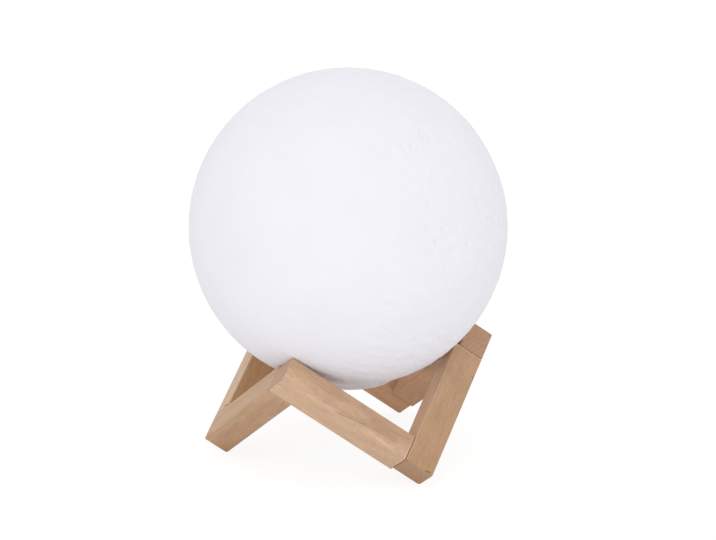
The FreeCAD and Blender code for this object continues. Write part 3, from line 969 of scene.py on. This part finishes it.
def floor_white():
    """Nearly white ground, lifted towards white for the camera."""
    material = bpy.data.materials.new("floor_white")
    material.use_nodes = True
    tree = material.node_tree
    tree.nodes.clear()
    place = add(tree, "TexCoord").outputs["Object"]
    tone = ramp(tree, noise(tree, place, 6.0, 2.0), [(0.0, (0.95, 0.95, 0.95)),
                                                     (1.0, (0.97, 0.97, 0.97))])
    matt = add(tree, "BsdfDiffuse", {"Color": tone}).outputs[0]
    lift = add(tree, "Emission", {"Color": (1, 1, 1, 1), "Strength": floor_glow}).outputs[0]
    share = calculate(tree, "MULTIPLY", white_to_camera(tree), glow_share)
    mixed = add(tree, "MixShader", {0: share, 1: matt, 2: lift}).outputs[0]
    add(tree, "OutputMaterial", {"Surface": mixed})
    return material


corner_signs = ((-1, -1), (1, -1), (1, 1), (-1, 1))
floor_mesh = bpy.data.meshes.new("floor")
floor_mesh.from_pydata([(x * floor_reach, y * floor_reach, 0) for x, y in corner_signs],
                       [], [(0, 1, 2, 3)])
floor_mesh.materials.append(floor_white())
floor = put_in_scene("floor", floor_mesh)
print("floor", floor_reach * 2, "by", floor_reach * 2, "metres")

# %% [markdown]
# ## The surroundings
#
# Light in the picture comes evenly from all round, as in a white room. A picture of a
# room would put its windows into every glossy part, so the surroundings are one even
# white, a little weaker for the lamp than for the camera.

# %% Surroundings
surroundings_strength = 0.86

world = bpy.data.worlds.new("surroundings")
world.use_nodes = True
bpy.context.scene.world = world
sky = world.node_tree
sky.nodes.clear()
strength = add(sky, "MapRange", {0: white_to_camera(sky), 3: surroundings_strength,
                                 4: 1.0}).outputs[0]
glow = add(sky, "Background", {"Color": (1, 1, 1, 1), "Strength": strength}).outputs[0]
add(sky, "OutputWorld", {"Surface": glow})
print("surroundings light the lamp at", surroundings_strength)

# %% [markdown]
# ## Lamps
#
# The picture is almost without shadow, with a little more light from in front. Small
# lamps would draw hard shadows, so both are large. One hangs high over the camera. A
# low, wide one stands under the camera and lights the undersides of the sticks and of
# the globe, as a white table does in a light tent. Both are weak against the
# surroundings.

# %% Soft lamps
def soft_lamp(name, place, width, height, power):
    """An area lamp that faces the globe."""
    data = bpy.data.lights.new(name, "AREA")
    data.shape = "RECTANGLE"
    data.size = width
    data.size_y = height
    data.energy = power
    lamp = put_in_scene(name, data)
    lamp.location = place
    lamp.rotation_euler = (globe_centre - Vector(place)).to_track_quat("-Z", "Y").to_euler()
    print(name, "at", place, "with", power, "watts")


soft_lamp("key", (-0.15, -1.32, 1.68), width=1.2, height=1.2, power=4.0)
soft_lamp("low_fill", (-0.25, -1.25, 0.17), width=1.5, height=0.30, power=1.20)

# %% [markdown]
# ## Moulded plastic
#
# Lifting the globe shows a moulded white base with a metal ring let into it and a
# charging socket. A mould is spark-eroded to a fine matt texture, and the plastic takes
# it over. A flat grey would do at this size, but a fine noise in colour, gloss and bump
# costs little and holds up close to.

# %% Moulded plastic
texture_depth = 0.00003
gloss_varies = 0.06


def moulded(name, colour, roughness=0.5, grain=1800.0, spread=0.04, **inputs):
    """Moulded plastic: slightly uneven colour over a fine spark-eroded texture."""
    material, tree, shader, place = start_material(name, roughness, **inputs)
    low = [value * (1 - spread) for value in colour]
    high = [min(1.0, value * (1 + spread)) for value in colour]
    tone = ramp(tree, noise(tree, place, 160.0, 3.0), [(0.3, low), (0.7, high)])
    texture = noise(tree, place, grain, 2.0)
    rough = remap(tree, texture, 0.3, 0.7, roughness - gloss_varies,
                  roughness + gloss_varies)
    fill(tree, shader, {"Base Color": tone, "Roughness": rough,
                        "Normal": bump(tree, texture, texture_depth, 0.6)})
    return material


dress("base_housing", moulded("white_base_plastic", (0.80, 0.80, 0.79), 0.48))
dress("housing_cap", moulded("white_cap_plastic", (0.76, 0.76, 0.75), 0.50))
print("base and cap dressed in white plastic")

# %% [markdown]
# ## Drawn and plated metal
#
# The socket is drawn, the contact is rolled and the screws are plated. Drawing and
# rolling leave fine marks along the metal. Noise makes them: it changes fast across the
# marks and slowly along them. The same value shades the colour and the gloss, so a dull
# mark is also a darker one.

# %% Metals
metal_gloss_varies = 0.08
drawn_depth = 0.00001


def finish_metal(tree, shader, marks, colour, shade, roughness, depth):
    """Colour, gloss and bump of a metal from its marks."""
    tone = ramp(tree, marks, [(0.25, [value * shade for value in colour]), (0.75, colour)])
    rough = remap(tree, marks, 0.3, 0.7, roughness - metal_gloss_varies,
                  roughness + metal_gloss_varies)
    fill(tree, shader, {"Base Color": tone, "Roughness": rough,
                        "Normal": bump(tree, marks, depth, 0.5)})


def drawn_metal(name, colour, roughness, stretch):
    """Metal with fine marks, as many per metre along each axis as stretch says."""
    material, tree, shader, place = start_material(name, roughness, Metallic=1.0)
    marks = noise(tree, stretched(tree, place, stretch), 1.0, 3.0, 0.6)
    finish_metal(tree, shader, marks, colour, 0.85, roughness, drawn_depth)
    return material


screw_metal = drawn_metal("plated_screws", (0.62, 0.62, 0.63), 0.32, (900, 900, 900))
screw_nodes = ("cap_screws", "board_screws", "led_board_screws")
for screws in screw_nodes:
    dress(screws, screw_metal)
dress("touch_contact", drawn_metal("sprung_bronze", (0.78, 0.52, 0.26), 0.34,
                                   (4000, 300, 300)))
dress("charge_socket", drawn_metal("drawn_socket", (0.70, 0.70, 0.71), 0.28,
                                   (300, 300, 5000)))
print("metal on", len(screw_nodes), "sets of screws, the contact and the socket")

# %% [markdown]
# ## Turned metal
#
# The ring under the base is turned on a lathe, and the tool leaves circles. Marks in
# straight lines would give it a wrong shine. The noise here only sees the distance from
# the ring's axis, so every mark closes into a circle.

# %% Turned ring
turning_marks = 9000.0                    # per metre of radius
turned_depth = 0.000012


def turned_metal(name, colour, roughness):
    """Metal turned on a lathe about the globe's axis: the marks are circles."""
    material, tree, shader, place = start_material(name, roughness, Metallic=1.0)
    flat = stretched(tree, place, (1.0, 1.0, 0.0))
    radius = add(tree, "VectorMath", {0: flat}, operation="LENGTH").outputs["Value"]
    along_radius = calculate(tree, "MULTIPLY", radius, turning_marks)
    spot = add(tree, "CombineXYZ", {0: along_radius}).outputs[0]
    marks = noise(tree, spot, 1.0, 3.0, 0.65)
    finish_metal(tree, shader, marks, colour, 0.88, roughness, turned_depth)
    return material


dress("touch_ring", turned_metal("turned_ring", (0.72, 0.70, 0.66), 0.30))
print("touch ring turned")

# %% [markdown]
# ## Circuit boards
#
# A board is glass cloth under a coloured mask. The cloth shows as a faint weave, and
# copper tracks under the mask as slightly lighter lines. Real tracks would be drawn one
# by one. At this size a brick pattern with thin mortar stands for them.

# %% Circuit boards
track_depth = 0.00003


def masked_board(name, mask, track, roughness=0.35):
    """A board's mask with faint tracks and weave under it."""
    material, tree, shader, place = start_material(name, roughness, Coat_Weight=0.3)
    tracks = add(tree, "TexBrick", {"Vector": place, "Color1": (*mask, 1),
                                    "Color2": (*mask, 1), "Mortar": (*track, 1),
                                    "Scale": 260.0, "Mortar Size": 0.03,
                                    "Brick Width": 0.9, "Row Height": 0.35}).outputs
    weave = noise(tree, stretched(tree, place, (2600, 900, 900)), 1.0, 2.0)
    shade = ramp(tree, weave, [(0.3, (0.88, 0.88, 0.88)), (0.7, (1, 1, 1))])
    colour = mix(tree, 0.8, tracks["Color"], shade, "MULTIPLY")
    fill(tree, shader, {"Base Color": colour,
                        "Normal": bump(tree, tracks["Fac"], track_depth, 0.4)})
    return material


dress("control_board", masked_board("green_board", (0.012, 0.120, 0.050),
                                    (0.045, 0.230, 0.105)))
dress("led_board", masked_board("white_board", (0.78, 0.79, 0.79), (0.66, 0.67, 0.67), 0.42))
print("two boards dressed")

# %% [markdown]
# ## Foam pads
#
# The cell is held between two pads of open foam. Foam has no skin: it is a heap of tiny
# dark holes. Modelling the holes would take more faces than the rest of the lamp, so
# they are a cell pattern with a bump that is deep for its size, and the dark in the
# holes is painted shade.

# %% Foam
holes_per_metre = 1500.0
hole_depth = 0.0003


def open_foam(name, colour):
    """Open foam: painted shade in the holes between paler edges."""
    material, tree, shader, place = start_material(name, 0.95)
    cells = add(tree, "TexVoronoi", {"Vector": place,
                                     "Scale": holes_per_metre}).outputs["Distance"]
    tone = ramp(tree, cells, [(0.1, [value * 0.4 for value in colour]), (0.7, colour)])
    fill(tree, shader, {"Base Color": tone, "Normal": bump(tree, cells, hole_depth, 0.8)})
    return material


dress("cell_pads", open_foam("black_foam", (0.030, 0.030, 0.033)))
print("pads dressed in foam")

# %% [markdown]
# ## The cell's pouch
#
# The cell is a pouch of embossed foil: metal with a low sheen, a net of tiny dots pressed
# into it and soft creases from handling. A plain mirror would look like a solid block of
# metal, so the creases matter more than the net.

# %% Foil
dots_per_metre = 900.0
dot_depth = 0.00004
crease_depth = 0.0002


def pouch_foil(name):
    """Embossed foil with a fine net and soft creases."""
    material, tree, shader, place = start_material(name, 0.38, Metallic=0.9)
    net = add(tree, "TexVoronoi", {"Vector": place, "Scale": dots_per_metre,
                                   "Randomness": 0.0}).outputs["Distance"]
    creases = noise(tree, place, 90.0, 4.0)
    tone = ramp(tree, creases, [(0.3, (0.55, 0.57, 0.60)), (0.7, (0.70, 0.71, 0.73))])
    dotted = bump(tree, net, dot_depth, 0.5)
    fill(tree, shader, {"Base Color": tone,
                        "Normal": bump(tree, creases, crease_depth, 0.4, dotted)})
    return material


dress("battery_cell", pouch_foil("pouch_foil"))
print("cell dressed in foil")

# %% [markdown]
# ## Chips, plugs and leads
#
# What is left of the electronics is all moulded or extruded plastic, and differs in
# colour, gloss and how fine its texture is. The material for moulded plastic could be
# written again for each. It takes these as values, so one line per finish is enough.

# %% Chips, plugs and leads
chip_black = moulded("chip_black", (0.018, 0.018, 0.020), 0.55, 3000.0)
lead_red = moulded("lead_red", (0.42, 0.018, 0.014), 0.40, 2500.0)
small_plastics = {
    "control_chip": chip_black,
    "charge_chip": chip_black,
    "socket_tongue": moulded("black_insulator", (0.022, 0.022, 0.024), 0.42),
    "cell_connector": moulded("natural_nylon", (0.76, 0.71, 0.60), 0.45),
    "cell_leads": lead_red,
    "led_leads": lead_red,
}
for name, material in small_plastics.items():
    dress(name, material)
print("small plastics:", len(small_plastics))

# %% [markdown]
# ## The light
#
# The lamp is off in the picture, so nothing here glows. An emitter is yellow when it is
# off, from the phosphor over its chip. The dome over the emitters is frosted, which is
# done like the globe, with light that goes in and comes out again. The small lens in the
# base is clear, so light passes through it.

# %% Emitters, dome and lens
emitter = moulded("emitter_yellow", (0.86, 0.66, 0.16), 0.40, 2500.0, 0.08)
dress("leds", emitter)
dress("status_led", emitter)
dress("led_dome", moulded("frosted_dome", (0.84, 0.84, 0.85), 0.60, 2200.0,
                          Subsurface_Weight=0.4, Subsurface_Scale=0.002))
dress("status_lens", moulded("light_pipe", (0.86, 0.88, 0.90), 0.12, 900.0,
                             Transmission_Weight=0.8))
print("dressed", sum(1 for node in nodes.values() if node.data.materials), "pieces")

# %% [markdown]
#
# The picture is shown with the plain Standard view, so a colour comes out as written. A
# filmic view would grey the white globe.

# %% Finish
bpy.context.scene.view_settings.view_transform = "Standard"
